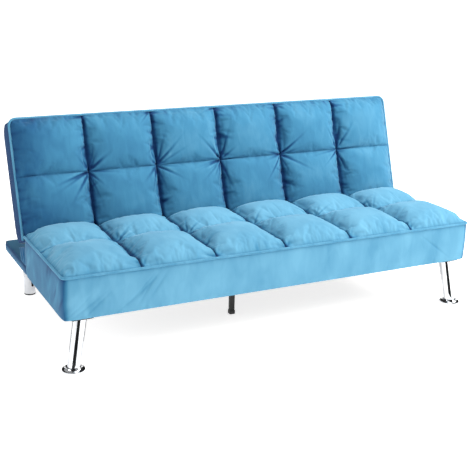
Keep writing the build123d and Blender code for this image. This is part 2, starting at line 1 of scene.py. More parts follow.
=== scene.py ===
"""Looks of a click-clack futon sofa bed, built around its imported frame.

The seat and the back are tufted velvet cushions, blown up by cloth simulation between
sewn channels. The platform behind the seat, the welts, the dust cover and its staples
are further pieces, and every frame part gets a procedural finish.
"""

import json
import logging
import math
from dataclasses import dataclass
from enum import Enum
from functools import cache

import bmesh
import bpy
import numpy as np
from bpy.types import ID, Material, Mesh, Node, NodeSocket, NodeTree, Object
from mathutils import Matrix, Vector


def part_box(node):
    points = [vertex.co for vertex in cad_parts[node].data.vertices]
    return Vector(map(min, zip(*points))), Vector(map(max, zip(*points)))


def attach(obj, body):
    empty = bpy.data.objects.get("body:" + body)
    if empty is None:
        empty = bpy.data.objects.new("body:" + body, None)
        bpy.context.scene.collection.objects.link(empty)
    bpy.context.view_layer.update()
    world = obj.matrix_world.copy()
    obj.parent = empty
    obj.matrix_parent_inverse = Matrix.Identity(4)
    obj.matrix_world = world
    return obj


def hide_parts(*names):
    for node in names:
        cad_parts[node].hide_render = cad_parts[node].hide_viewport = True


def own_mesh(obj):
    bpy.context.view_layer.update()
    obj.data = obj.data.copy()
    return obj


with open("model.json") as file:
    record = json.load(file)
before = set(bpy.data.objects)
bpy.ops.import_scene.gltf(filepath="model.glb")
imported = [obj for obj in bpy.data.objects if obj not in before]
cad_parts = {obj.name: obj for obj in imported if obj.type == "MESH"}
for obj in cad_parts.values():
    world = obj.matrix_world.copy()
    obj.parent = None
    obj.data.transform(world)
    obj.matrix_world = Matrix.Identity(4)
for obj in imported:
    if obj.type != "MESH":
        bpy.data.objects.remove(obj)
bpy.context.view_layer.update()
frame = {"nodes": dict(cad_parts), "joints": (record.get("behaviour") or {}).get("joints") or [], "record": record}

logging.basicConfig(level=logging.INFO, format="%(message)s")
log = logging.getLogger("sofa")

MM = 0.001
BACK_LENGTH = 499 * MM  # from the back's heel to its top, along its lean
BACK_THICK = 112 * MM
CLOTH_STEPS = 16
CLOTH_SETTINGS = {
    "quality": 4,
    "mass": 0.02,
    "tension_stiffness": 18,
    "compression_stiffness": 12,
    "shear_stiffness": 6,
    "bending_stiffness": 0.1,
    "vertex_group_mass": "pins",
    "pin_stiffness": 1.0,
    "use_pressure": True,
    "uniform_pressure_force": 4.0,
}


# ---- materials ----------------------------------------------------------------------
def linear(colour: str) -> tuple[float, float, float, float]:
    """Turn an sRGB hex colour into linear RGBA.

    Args:
        colour: Six hex digits after a hash sign.

    Returns:
        Red, green, blue and an alpha of one.
    """
    channels = [int(colour[i : i + 2], 16) / 255 for i in (1, 3, 5)]
    straight = [c / 12.92 if c <= 0.04045 else ((c + 0.055) / 1.055) ** 2.4 for c in channels]
    return (*straight, 1.0)


def add_node(tree: NodeTree, kind: str, settings: dict, inputs: dict) -> Node:
    """Add a node, set it and link it.

    Args:
        tree: The node tree that takes it.
        kind: Blender's name of the node type.
        settings: Attributes of the node.
        inputs: Socket name or number to a value, or to the output socket that feeds it.

    Returns:
        The new node.
    """
    made = tree.nodes.new(kind)
    for name, value in settings.items():
        setattr(made, name, value)
    for name, value in inputs.items():
        if isinstance(value, NodeSocket):
            tree.links.new(value, made.inputs[name])
        else:
            made.inputs[name].default_value = value
    return made


def new_material(name: str) -> tuple[Material, NodeTree, NodeSocket]:
    """Start a node material.

    Args:
        name: The material's name.

    Returns:
        The material, its emptied tree and the Object coordinate socket.
    """
    material = bpy.data.materials.new(name)
    material.use_nodes = True
    tree = material.node_tree
    tree.nodes.clear()
    place = add_node(tree, "ShaderNodeTexCoord", {}, {})
    return material, tree, place.outputs["Object"]


def finish_surface(tree: NodeTree, inputs: dict) -> None:
    """Add the shader and the output.

    Args:
        tree: The material's tree.
        inputs: Sockets of the Principled shader to set or link.
    """
    shader = add_node(tree, "ShaderNodeBsdfPrincipled", {}, inputs)
    add_node(tree, "ShaderNodeOutputMaterial", {}, {"Surface": shader.outputs[0]})


def ramp(tree: NodeTree, factor: NodeSocket, stops: list) -> NodeSocket:
    """Map a factor to colours.

    Args:
        tree: The material's tree.
        factor: The socket that drives the ramp.
        stops: Pairs of place and sRGB hex colour, at least two.

    Returns:
        The colour socket.
    """
    made = add_node(tree, "ShaderNodeValToRGB", {}, {0: factor})
    elements = made.color_ramp.elements
    for _ in range(len(stops) - 2):
        elements.new(0.5)
    for element, (place, colour) in zip(elements, stops):
        element.position = place
        element.color = linear(colour)
    return made.outputs[0]


def noise(
    tree: NodeTree, place: NodeSocket, size_mm: float, detail: float, twist: float = 0.0
) -> NodeSocket:
    """Add a cloudy pattern.

    Args:
        tree: The material's tree.
        place: The coordinates it is laid out in.
        size_mm: The size of its patches, in millimetres.
        detail: How many finer layers it has.
        twist: How much it is distorted.

    Returns:
        The pattern, about 0 to 1.
    """
    inputs = {"Vector": place, "Scale": 1 / (size_mm * MM), "Detail": detail, "Distortion": twist}
    return add_node(tree, "ShaderNodeTexNoise", {}, inputs).outputs[0]


def relief(
    tree: NodeTree,
    height: NodeSocket,
    strength: float,
    depth_mm: float,
    under: NodeSocket | None = None,
) -> NodeSocket:
    """Add a relief that only turns the surface's normal.

    Args:
        tree: The material's tree.
        height: The pattern that raises it.
        strength: Its strength, 0 to 1.
        depth_mm: Its depth, in millimetres.
        under: The normal of a coarser relief that it lies on.

    Returns:
        The normal.
    """
    inputs = {"Strength": strength, "Distance": depth_mm * MM, "Height": height}
    if under is not None:
        inputs["Normal"] = under
    return add_node(tree, "ShaderNodeBump", {}, inputs).outputs[0]


@dataclass(frozen=True)
class Velvet:
    """Short-pile polyester velvet: the pile lies in patches that look lighter or darker,
    hands leave brush marks in it, and its edges glow where the pile is seen from the side.
    Its colour follows a per-vertex painted lightness, which carries painted light and shade."""

    name: str = "polyester velvet, short pile"
    shadow: str = "#082C56"
    shaded_against_nap: str = "#1B4C71"
    mid: str = "#36708F"
    lit_with_nap: str = "#5B91AC"
    sheen: str = "#B4D2E4"
    fuzz: float = 0.3
    nap_and_shade: float | None = None
    patch_mm: float = 210.0
    mark_mm: float = 34.0
    pile_mm: float = 1.6
    mark_share: float = 0.36
    swing: float = 0.32

    def build(self) -> Material:
        """Return the node material."""
        material, tree, place = new_material(self.name)
        patches = noise(tree, place, self.patch_mm, 2.0, 0.4)
        aslant = {"Vector": place, "Rotation": (0.35, 0.2, 0.5), "Scale": (1.0, 0.45, 0.38)}
        strokes = add_node(tree, "ShaderNodeMapping", {}, aslant).outputs[0]
        marks = noise(tree, strokes, self.mark_mm, 2.0, 0.7)
        both = {0: self.mark_share, 2: patches, 3: marks}
        blend = add_node(tree, "ShaderNodeMix", {"data_type": "FLOAT"}, both).outputs[0]
        shaded_lay = self.nap_and_shade
        if shaded_lay is None:
            read = add_node(tree, "ShaderNodeAttribute", {"attribute_name": "nap_and_shade"}, {})
            shaded_lay = read.outputs["Fac"]
        # The marks lighten or darken the painted lightness by up to the swing.
        centred = {0: blend, 1: 2 * self.swing, 2: -self.swing}
        shift = add_node(tree, "ShaderNodeMath", {"operation": "MULTIPLY_ADD"}, centred).outputs[0]
        lie = add_node(tree, "ShaderNodeMath", {"operation": "ADD"}, {0: shift, 1: shaded_lay}).outputs[0]
        # The ramp runs from painted shadow, through painted shade, to the lit pile.
        stops = [
            (0.0, self.shadow),
            (0.3, self.shaded_against_nap),
            (0.62, self.mid),
            (1.0, self.lit_with_nap),
        ]
        pile = noise(tree, place, self.pile_mm, 2.0)
        brushed = relief(tree, marks, 0.28, 2.2)
        finish_surface(
            tree,
            {
                "Base Color": ramp(tree, lie, stops),
                "Roughness": 0.82,
                "Specular IOR Level": 0.12,
                "Sheen Weight": self.fuzz,
                "Sheen Roughness": 0.4,
                "Sheen Tint": linear(self.sheen),
                "Normal": relief(tree, pile, 0.35, 0.4, brushed),
            },
        )
        return material


@dataclass(frozen=True)
class Metal:
    """A metal or a coated metal: plated steel mirrors its surroundings with faint wipe marks,
    zinc shows its spangle, and a powder coat shows fine orange peel."""

    name: str
    bright: str
    dull: str
    metallic: float
    smooth: float
    rough: float
    grain_mm: float
    bump: float = 0.05

    def build(self) -> Material:
        """Return the node material."""
        material, tree, place = new_material(self.name)
        grain = noise(tree, place, self.grain_mm, 4.0)
        spread = {"Value": grain, 1: 0.3, 2: 0.7, 3: self.smooth, 4: self.rough}
        finish_surface(
            tree,
            {
                "Base Color": ramp(tree, grain, [(0.35, self.dull), (0.65, self.bright)]),
                "Metallic": self.metallic,
                "Roughness": add_node(tree, "ShaderNodeMapRange", {}, spread).outputs[0],
                "Normal": relief(tree, grain, self.bump, 0.15),
            },
        )
        return material


@dataclass(frozen=True)
class Timber:
    """Sawn or pressed wood: long grain lines along the piece, with faint pores."""

    name: str
    early: str
    late: str
    ring_mm: float
    along: tuple[float, float, float] = (0.08, 1.0, 1.0)
    rough: float = 0.62

    def build(self) -> Material:
        """Return the node material."""
        material, tree, place = new_material(self.name)
        stretch = add_node(tree, "ShaderNodeMapping", {}, {"Vector": place, "Scale": self.along})
        rings = noise(tree, stretch.outputs[0], self.ring_mm, 5.0, 0.8)
        colour = ramp(tree, rings, [(0.35, self.late), (0.62, self.early)])
        normal = relief(tree, rings, 0.25, 0.3)
        finish_surface(tree, {"Base Color": colour, "Roughness": self.rough, "Normal": normal})
        return material


@dataclass(frozen=True)
class Bonded:
    """A matte sheet or block of fibres, cells or moulded plastic, with an even fine texture."""

    name: str
    light: str
    dark: str
    cell_mm: float
    rough: float
    bump: float
    relief_mm: float

    def build(self) -> Material:
        """Return the node material."""
        material, tree, place = new_material(self.name)
        size = {"Vector": place, "Scale": 1 / (self.cell_mm * MM)}
        cells = add_node(tree, "ShaderNodeTexVoronoi", {}, size).outputs[0]
        colour = ramp(tree, cells, [(0.15, self.dark), (0.7, self.light)])
        normal = relief(tree, cells, self.bump, self.relief_mm)
        finish_surface(tree, {"Base Color": colour, "Roughness": self.rough, "Normal": normal})
        return material


FINISHES = {
    "velvet": Velvet(),
    # A darker, nearly sheenless copy of the velvet for the back's ends: painted shade, standing in for the pile
    # seen along its lay, which turns navy.
    "velvet_shaded_ends": Velvet(name="polyester velvet, painted shade of pile lying away", nap_and_shade=0.04, fuzz=0.03),
    "welt_velvet": Velvet(
        name="polyester velvet, bias-cut over cord",
        nap_and_shade=0.78,
        patch_mm=90.0,
        mark_mm=14.0,
    ),
    # Electroplated steel: near-mirror, with soft wipe marks.
    "chrome": Metal("chrome plate on steel", "#CDCFD2", "#B7BABE", 1.0, 0.05, 0.12, 60.0, 0.02),
    # Bright zinc plate: greyer, with a soft spangle.
    "zinc_steel": Metal("bright zinc plate", "#C3C4C2", "#8F918F", 1.0, 0.3, 0.46, 5.0),
    # Oil-tempered wire: dark and satin.
    "spring_wire": Metal("oil-tempered spring wire", "#5A5856", "#33312F", 1.0, 0.35, 0.5, 7.0),
    # Powder coat: black, not metallic, fine orange peel.
    "black_steel": Metal("black powder coat", "#0C0C0D", "#070708", 0.0, 0.45, 0.58, 1.4, 0.3),
    "pine": Timber("planed pine", "#D9B584", "#B98A55", 9.0),
    "plywood": Timber("sawn poplar plywood", "#D2AE80", "#A98256", 4.5, (0.1, 1.0, 6.0)),
    # Pressed wood fibre: brown, nearly even.
    "hardboard": Timber("tempered hardboard", "#6E4A2E", "#4E331F", 2.2, (1.0, 1.0, 1.0), 0.5),
    "foam": Bonded("cut polyurethane foam", "#EFE6BE", "#D5C894", 1.8, 0.95, 0.5, 0.6),
    "felt": Bonded("needled felt", "#9A9A9C", "#6E6E72", 1.2, 0.98, 0.4, 0.4),
    # Spun-bonded polypropylene: black, with a grid of pressed bond points.
    "nonwoven": Bonded("spun-bonded dust cloth", "#1D1D20", "#0E0E10", 2.6, 0.9, 0.6, 0.3),
    "black_plastic": Bonded(
        "moulded black polyethylene", "#1B1B1C", "#121213", 0.9, 0.48, 0.12, 0.1
    ),
}


@cache
def finish(slot: str) -> Material:
    """Build a finish, once.

    Args:
        slot: Its slot in the record.

    Returns:
        Its material.
    """
    return FINISHES[slot].build()


def dress_frame() -> None:
    """Give every frame part the finish of its slot."""
    parts = frame["record"]["subparts"]
    for part in parts:
        for holder in frame["nodes"][part["node"]].material_slots:
            holder.material = finish(part["material_slot"])
    log.info("dressed %d frame parts", len(parts))


# ---- meshes -------------------------------------------------------------------------
def smooth_step(value: np.ndarray) -> np.ndarray:
    """Return an eased 0 to 1 for each value, clipped outside that range."""
    eased = np.clip(value, 0.0, 1.0)
    return eased * eased * (3 - 2 * eased)


def bell(distance: np.ndarray, width: float) -> np.ndarray:
    """Return a bell curve, 1 at no distance and 0.37 one width away."""
    return np.exp(-((distance / width) ** 2))


def fade(distance: np.ndarray, width: float) -> np.ndarray:
    """Return a share that starts at 1 and falls to 0.37 one width away."""
    return np.exp(-distance / width)


def link_object(name: str, data: ID) -> Object:
    """Link a new object at the origin.

    Args:
        name: Its name.
        data: Its mesh, light or camera.

    Returns:
        The new object.
    """
    obj = bpy.data.objects.new(name, data)
    bpy.context.scene.collection.objects.link(obj)
    return obj


def new_object(name: str, mesh: Mesh, material: Material) -> Object:
    """Link a smooth-shaded object at the origin.

    Args:
        name: The piece's name.
        mesh: Its mesh, already in place.
        material: Its finish.

    Returns:
        The new object.
    """
    mesh.materials.append(material)
    mesh.polygons.foreach_set("use_smooth", [True] * len(mesh.polygons))
    return link_object(name, mesh)


def new_mesh(name: str, points: np.ndarray, faces: list) -> Mesh:
    """Build a mesh.

    Args:
        name: Its name.
        points: A row for each vertex.
        faces: A list of vertex numbers for each face.

    Returns:
        The new mesh.
    """
    mesh = bpy.data.meshes.new(name)
    mesh.from_pydata(points.tolist(), [], faces)
    return mesh


def read_points(mesh: Mesh) -> np.ndarray:
    """Return a mesh's vertices as an array of rows."""
    points = np.zeros(len(mesh.vertices) * 3)
    mesh.vertices.foreach_get("co", points)
    return points.reshape(-1, 3)


def grid_quads(grid: np.ndarray) -> np.ndarray:
    """Return the four-sided faces between a grid of vertex numbers."""
    corners = [grid[:-1, :-1], grid[:-1, 1:], grid[1:, 1:], grid[1:, :-1]]
    return np.stack(corners, -1).reshape(-1, 4)


def grid_edge(grid: np.ndarray) -> np.ndarray:
    """Return the vertex numbers along a grid's edge, once round."""
    return np.concatenate([grid[0, :-1], grid[:-1, -1], grid[-1, :0:-1], grid[:0:-1, 0]])


def turn_outward(mesh: Mesh) -> None:
    """Make the faces of a closed mesh point outward."""
    work = bmesh.new()
    work.from_mesh(mesh)
    bmesh.ops.recalc_face_normals(work, faces=work.faces)
    work.to_mesh(mesh)
    work.free()


def write_nap_and_shade(mesh: Mesh, nap_and_shade: np.ndarray) -> None:
    """Store the painted lightness at each vertex, the pile's lay together with painted light and shade, which the
    velvet reads.
    """
    values = nap_and_shade.astype(np.float32)
    mesh.attributes.new("nap_and_shade", "FLOAT", "POINT").data.foreach_set("value", values)


class Blow(Enum):
    """How a cushion gets its final shape."""

    CLOTH = "cloth simulation"
    DRAWN = "drawn by rule"


@dataclass
class Upholstery:
    """A fabric-covered block with a welt line round its face, drawn in its own plane.
    In that plane x runs along the length, y from the near edge to the far one, and z out
    of the face; the block lies below z = 0, and its padding rises above it. Its painted
    lightness, from 0 to 1, is how light the pile looks: its lay together with painted light and shade.
    """

    name: str
    body: str
    replaces: tuple[str, ...]
    place: Matrix
    half_width: float
    span: float
    corner: float
    drop: float
    row_break: float  # y of the seam that runs along the length
    seam_rise: float  # how far the face stands out at its seams
    pucker: float  # depth of the pleats
    seed: int
    columns: int = 1
    puff: float = 0.0  # how far the pillows rise above the seams
    tuft_sink: float = 0.0
    edge_round: float = 0.0
    blow: Blow = Blow.DRAWN
    cell: float = 4.2 * MM
    cloth_cell: float = 6.2 * MM
    margin: float = 58 * MM  # how far in from its edge the face still climbs
    cap: float = 26 * MM  # how far the cloth may move
    band_belly: float = 3.5 * MM
    row_depth: float = 0.5  # how much of the puff the lengthwise seam takes away
    groove: float = 6 * MM
    flank_shade: float = 0.06  # painted shade: how much darker the pillow flank just right of a seam is painted
    ease: float = 0.056  # how much larger than its place the cloth is cut
    pulls: int = 0  # how many slanting folds the band has
    end_shade: float = 0.0  # how much darker the left end is
    # Whether the band's left and right ends take a darker copy of the velvet, as painted shade.
    shaded_ends: bool = False
    # Painted lightness of the face, of the band's ends and of its front and rear: the pile's lay together with
    # painted light and shade.
    nap_and_shade: float = 0.6
    band_ends_nap_and_shade: float = 0.55  # of the band's left and right ends
    band_front_rear_nap_and_shade: float = 0.6  # of the band's front and rear

    @property
    def pitch(self) -> float:
        """Width of one column."""
        return 2 * self.half_width / self.columns

    def edges(self, x: np.ndarray, y: np.ndarray) -> tuple[np.ndarray, np.ndarray]:
        """Return each point's distance from the nearer end and from the nearer long edge."""
        return self.half_width - np.abs(x), np.minimum(y, self.span - y)

    def lines(self, cell: float) -> tuple[np.ndarray, np.ndarray, int, int]:
        """Lay out a grid with a line on every seam.

        Args:
            cell: The wanted distance between lines.

        Returns:
            The lines' x, their y, the steps in a column and the steps up to the row seam.
        """
        per_column = max(8, round(self.pitch / cell))
        xs = np.linspace(-self.half_width, self.half_width, self.columns * per_column + 1)
        low = max(6, round(self.row_break / cell))
        high = max(6, round((self.span - self.row_break) / cell))
        far = np.linspace(self.row_break, self.span, high + 1)
        ys = np.concatenate([np.linspace(0, self.row_break, low + 1), far[1:]])
        return xs, ys, per_column, low

    def round_corners(self, x: np.ndarray, y: np.ndarray) -> tuple[np.ndarray, np.ndarray]:
        """Bend the square corners of a grid onto arcs.

        Args:
            x: Grid x.
            y: Grid y.

        Returns:
            The bent x and y.
        """
        half = self.span / 2
        reach = 3.2 * self.corner
        a = (np.abs(x) - (self.half_width - reach)) / reach
        b = (np.abs(y - half) - (half - reach)) / reach
        inside = (a > 0) & (b > 0)
        share = self.corner / reach
        pull = np.where(inside, np.clip(a, 0, 1) * np.clip(b, 0, 1), 0) ** (1 / share)
        inward = pull * self.corner * (1 - math.sqrt(0.5))
        return x - np.sign(x) * inward, y - np.sign(y - half) * inward

    def height(self, x: np.ndarray, y: np.ndarray) -> np.ndarray:
        """Height of the padded face above the welt plane, without its folds."""
        climbs = [
            np.sin(np.clip(edge / self.margin, 0, 1) * math.pi / 2) ** 0.8
            for edge in self.edges(x, y)
        ]
        dome = sum(np.maximum(climb, 1e-6) ** -4 for climb in climbs) ** -0.25
        height = self.seam_rise * dome
        if self.columns == 1:
            return height
        across = (x + self.half_width) / self.pitch
        u = np.clip(across - np.floor(np.clip(across, 0, self.columns - 1e-6)), 0, 1)
        bulge = np.sin(u * math.pi) ** 0.44
        from_break = np.abs(y - self.row_break)
        dip = fade(from_break, 13 * MM) + 0.32 * bell(from_break, 60 * MM)
        valley = 1 - self.row_depth * dip
        height = height + self.puff * bulge * valley * dome**0.8
        from_seam = np.minimum(u, 1 - u) * self.pitch
        on_inner_seam = (across > 0.5) & (across < self.columns - 0.5)
        tuft = fade(np.hypot(from_seam, from_break), 26 * MM)
        sunk = self.tuft_sink * tuft + self.groove * bell(from_seam, 5 * MM)
        return height - np.where(on_inner_seam, sunk, 0)

    @staticmethod
    def fan(
        rng: np.random.RandomState,
        dx: np.ndarray,
        dy: np.ndarray,
        count: int,
        reaches: tuple[float, float],
    ) -> np.ndarray:
        """Pleats that fan out from a point where the cloth is drawn in.

        Args:
            rng: Where the pleats' directions and sizes are drawn from.
            dx: Distance from the point, across.
            dy: Distance from the point, along.
            count: How many pleats.
            reaches: The shortest and the longest pleat.

        Returns:
            The pleats' depth, about 0 to 1.
        """
        r = np.hypot(dx, dy) + 1e-9
        turn = np.arctan2(dy, dx)
        depth = np.zeros_like(dx)
        for _ in range(count):
            lie = rng.uniform(-math.pi, math.pi)
            off = np.abs(np.angle(np.exp(1j * (turn - lie)))) * np.maximum(r, 20 * MM)
            reach = rng.uniform(*reaches)
            width = rng.uniform(3.4, 6.2) * MM
            ridge = bell(off, width) - 0.35 * bell(off, 2.4 * width)
            depth += rng.uniform(0.5, 1.0) * ridge * bell(r, reach)
        return depth * (1 - bell(r, 12 * MM))

    def folds(self, x: np.ndarray, y: np.ndarray) -> np.ndarray:
        """Pleats that fan out from the tufts, run off the seams and gather at the welt."""
        rng = np.random.RandomState(self.seed)
        edge_x, edge_y = self.edges(x, y)
        rim = np.minimum(edge_x, edge_y)
        total = np.zeros_like(x)
        for index in range(self.columns + 1):
            dx = x - (-self.half_width + index * self.pitch)
            for end in (0.0, self.span):
                small = self.fan(rng, dx, y - end, 9, (24 * MM, 60 * MM))
                total -= 1.9 * self.pucker * small
            if index in (0, self.columns):
                continue
            tuft = self.fan(rng, dx, y - self.row_break, 17, (36 * MM, 95 * MM))
            total -= 3.6 * self.pucker * tuft
            for side in (-1, 1):
                beyond = np.clip(side * dx, 0, None)
                mine = (side * dx > 0) & (side * dx < self.pitch)
                for _ in range(8):
                    spot = rng.beta(0.35, 0.35) * self.span
                    tilt = rng.uniform(-0.6, 0.6)
                    width = rng.uniform(4.0, 7.5) * MM
                    reach = rng.uniform(14, 48) * MM
                    off = y - spot - tilt * beyond
                    crease = 1.1 * self.pucker * (bell(off, width) * bell(beyond, reach))
                    total -= np.where(mine, crease * smooth_step(beyond / (5 * MM)), 0)
        along = np.where(edge_x < edge_y, y, x)
        for _ in range(int(2 * self.half_width / (34 * MM))):
            spot = rng.uniform(-self.half_width, self.half_width)
            width = rng.uniform(4, 8) * MM
            reach = rng.uniform(10, 34) * MM
            total -= 0.5 * self.pucker * (bell(along - spot, width) * bell(rim, reach))
        return total * smooth_step(rim / (7 * MM))

    def face_nap_and_shade(self, x: np.ndarray, y: np.ndarray, folds: np.ndarray) -> np.ndarray:
        """The face's painted lightness: the pile's lay with painted shade along the rim, at the ends, dark in the
        seams, tufts and creases, and a faint painted highlight on fold ridges.
        """
        edge_x, edge_y = self.edges(x, y)
        # Painted shade along the welt and at the left and right ends.
        nap_and_shade = self.nap_and_shade * (1 - 0.25 * fade(np.minimum(edge_x, edge_y), 5 * MM))
        nap_and_shade = nap_and_shade * (1 - 0.45 * fade(edge_x, 9 * MM))
        # Painted shade over the left end.
        nap_and_shade = nap_and_shade * (1 - self.end_shade * bell(x + self.half_width, 170 * MM))
        if self.columns == 1:
            return nap_and_shade
        across = (x + self.half_width) / self.pitch
        from_seam = np.abs(across - np.round(across)) * self.pitch
        from_seam = np.where((across < 0.5) | (across > self.columns - 0.5), 1.0, from_seam)
        from_break = np.abs(y - self.row_break)
        # Painted shade in the seams, on the pillow flank just right of each seam, along the row seam and in the
        # tufts.
        nap_and_shade = nap_and_shade * (1 - bell(from_seam, 6 * MM)) * (1 - 0.25 * fade(from_seam, 14 * MM))
        past = np.where(across < 1, 1.0, (across - np.floor(across)) * self.pitch)
        nap_and_shade = nap_and_shade * (1 - self.flank_shade * fade(past, 12 * MM))
        nap_and_shade = nap_and_shade * (1 - self.row_depth * fade(from_break, 5 * MM))
        nap_and_shade = nap_and_shade * (1 - 0.7 * fade(np.hypot(from_seam, from_break), 17 * MM))
        # Creases painted darker and fold ridges faintly lighter: painted shade and highlight.
        return nap_and_shade + np.clip(folds / (8 * MM), -0.4, 0.1)

    def swell(self, x: np.ndarray, y: np.ndarray) -> np.ndarray:
        """Blow a coarse copy of the face up as cloth and read how far it moved.

        Args:
            x: Grid x of the fine face.
            y: Grid y of the fine face.

        Returns:
            A displacement for each point of the fine face.
        """
        moved = np.zeros((*x.shape, 3))
        if self.blow is Blow.DRAWN:
            return moved
        xs, ys, per_column, low = self.lines(self.cloth_cell)
        coarse_x, coarse_y = np.meshgrid(xs, ys)
        shape = coarse_x.shape
        points = np.stack([coarse_x, coarse_y, self.height(coarse_x, coarse_y)], -1).reshape(-1, 3)
        pins = np.zeros(shape)
        pins[:, ::per_column] = 1.0
        pins[low, :] = np.maximum(pins[low, :], 1.3 * self.row_depth)
        pins[[0, -1], :] = 1.0
        name = self.name + "_cloth"
        faces = grid_quads(np.arange(len(points)).reshape(shape)).tolist()
        obj = link_object(name, new_mesh(name, points, faces))
        travel = inflate(obj, pins.ravel(), self.cap, self.ease).reshape((*shape, 3))
        bpy.data.objects.remove(obj)
        for axis in range(3):
            wide = np.stack([np.interp(x[0], xs, row) for row in travel[:, :, axis]])
            tall = np.stack([np.interp(y[:, 0], ys, column) for column in wide.T])
            moved[:, :, axis] = tall.T
        return moved

    def pull_lines(self, walk: np.ndarray, share: float) -> np.ndarray:
        """Slanting pull folds on the band, mostly near the front corners.

        Args:
            walk: Distance round the band from its front left corner.
            share: How far down the band, from 0 to 1.

        Returns:
            The folds' depth, about 0 to 1.
        """
        rng = np.random.RandomState(self.seed + 23)
        depth = np.zeros_like(walk)
        for index in range(self.pulls):
            near_left = index % 5 != 4
            spot = rng.uniform(70, 370) * MM
            lean = rng.uniform(-1.5, -0.7)
            if not near_left:
                spot, lean = 2 * self.half_width - spot, -lean
            middle = rng.uniform(0.35, 0.8)
            width = rng.uniform(4, 8) * MM
            off = walk - spot - lean * (share - 0.5) * self.drop
            depth += bell(off, width) * bell(share - middle, 0.28)
        return depth

    def brush_strokes(self, walk: np.ndarray, share: float) -> np.ndarray:
        """Short strokes that a hand has left in the pile of the left end and front corner.

        Args:
            walk: Distance round the band from its front left corner.
            share: How far down the band, from 0 to 1.

        Returns:
            How much lighter or darker the pile looks.
        """
        rng = np.random.RandomState(self.seed + 41)
        length = walk.max()
        marks = np.zeros_like(walk)
        for _ in range(26 if self.pulls else 0):
            spot = length - rng.uniform(-0.12, self.span)
            tilt = rng.uniform(-0.9, 0.2)
            level = rng.uniform(0.05, 0.95)
            width = rng.uniform(7, 20) * MM
            off = walk - (spot % length) - tilt * (share - level) * self.drop
            marks += rng.choice((-0.26, 0.14)) * (bell(off, width) * bell(share - level, 0.2))
        return marks

    def outward(self, ring: np.ndarray) -> np.ndarray:
        """Find which way the band faces.

        Args:
            ring: The points of the face's edge.

        Returns:
            The x and y of the outward direction at each point, eased round the corners.
        """
        aside, ahead = ring[:, :1], ring[:, 1:2] - self.span / 2
        is_end = np.abs(aside) / self.half_width > np.abs(ahead) / (self.span / 2)
        facing = np.concatenate([np.sign(aside) * is_end, np.sign(ahead) * ~is_end], 1)
        for _ in range(6):
            facing = (np.roll(facing, 1, 0) + facing * 2 + np.roll(facing, -1, 0)) / 4
        return facing

    def build_mesh(self) -> Mesh:
        """Build the face, the band round it and its hem, in the piece's own plane."""
        xs, ys, _, _ = self.lines(self.cell)
        x, y = np.meshgrid(xs, ys)
        moved = self.swell(x, y)
        folds = self.folds(x, y) if self.columns > 1 else np.zeros_like(x)
        z = self.height(x, y) + moved[:, :, 2] + folds
        bent_x, bent_y = self.round_corners(x + moved[:, :, 0], y + moved[:, :, 1])
        face = np.stack([bent_x, bent_y, z], -1).reshape(-1, 3)
        grid = np.arange(len(face)).reshape(x.shape)
        edge = grid_edge(grid)
        ring = face[edge]
        outward = self.outward(ring)
        sideways = np.abs(outward[:, 0])
        walk = np.cumsum(np.linalg.norm(ring - np.roll(ring, 1, 0), axis=1))
        phase = np.random.RandomState(self.seed + 7).uniform(0, 6.28, 4)
        patchy = 0.5 + 0.5 * np.sin(walk / 0.31 + phase[3])
        stack, quads, nap_and_shade_rows = [face], [grid_quads(grid)], [self.face_nap_and_shade(x, y, folds).ravel()]
        rows = max(4, round(self.drop / self.cell))
        below = edge
        for row in range(1, rows + 1):
            share = row / rows
            down = share * self.drop
            slide = walk + 0.5 * down
            wrinkle = (
                np.sin(slide / (47 * MM) + phase[0])
                + np.sin(slide / (29 * MM) * (1 + 0.06 * np.sin(slide / 0.4)) + phase[1])
                + 0.8 * np.sin(walk / (17 * MM) + 3 * share + phase[2])
            )
            arch = math.sin(math.pi * share)
            pull = self.pull_lines(walk, share)
            ripple = 0.2 * self.pucker * wrinkle * patchy * arch - 1.9 * MM * pull
            # The top four rows roll over the rounded edge.
            tuck = self.edge_round * (1 - math.sqrt(1 - (1 - min(1, row / 4)) ** 2))
            level = ring.copy()
            level[:, :2] += outward * (self.band_belly * arch**0.6 + ripple - tuck)[:, None]
            level[:, 2] = -down
            stack.append(level)
            here = len(face) + len(edge) * (row - 1) + np.arange(len(edge))
            quads.append(np.stack([below, here, np.roll(here, -1), np.roll(below, -1)], -1))
            below = here
            # Band lightness: the ends and the front and rear are painted for how light falls on them, with brush
            # strokes, painted shade and highlight along the wrinkles, and painted shade in the pull folds, under
            # the welt, and on the ends near their near edge and top.
            nap_and_shade = sideways * self.band_ends_nap_and_shade + (1 - sideways) * self.band_front_rear_nap_and_shade
            nap_and_shade = nap_and_shade + self.brush_strokes(walk, share) + 0.03 * wrinkle * patchy - 0.1 * pull
            shade = sideways * (fade(ring[:, 1], 32 * MM) + fade(down, 17 * MM))
            nap_and_shade_rows.append(nap_and_shade - 0.4 * fade(down, 6 * MM) - 0.3 * shade)
        points = np.concatenate(stack)
        points[edge, :2] -= outward * self.edge_round
        hem = below.tolist()
        mesh = new_mesh(self.name, points, [*np.concatenate(quads).tolist(), hem])
        mesh.update()
        turn_outward(mesh)
        # The band's left and right ends take the darker velvet copy: painted shade.
        if self.shaded_ends:
            for side in mesh.polygons[len(quads[0]) :]:
                side.material_index = int(abs(side.normal.x) > 0.7)
        write_nap_and_shade(mesh, np.concatenate(nap_and_shade_rows))
        return mesh

    def make(self) -> Object:
        mesh = self.build_mesh()
        obj = new_object(self.name, mesh, finish("velvet"))
        if self.shaded_ends:
            mesh.materials.append(finish("velvet_shaded_ends"))
        mesh.transform(self.place)
        mesh.update()
        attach(obj, self.body)
        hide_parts(*self.replaces)
        log.info("%s: %d faces, %s", self.name, len(mesh.polygons), self.blow.value)
        return obj


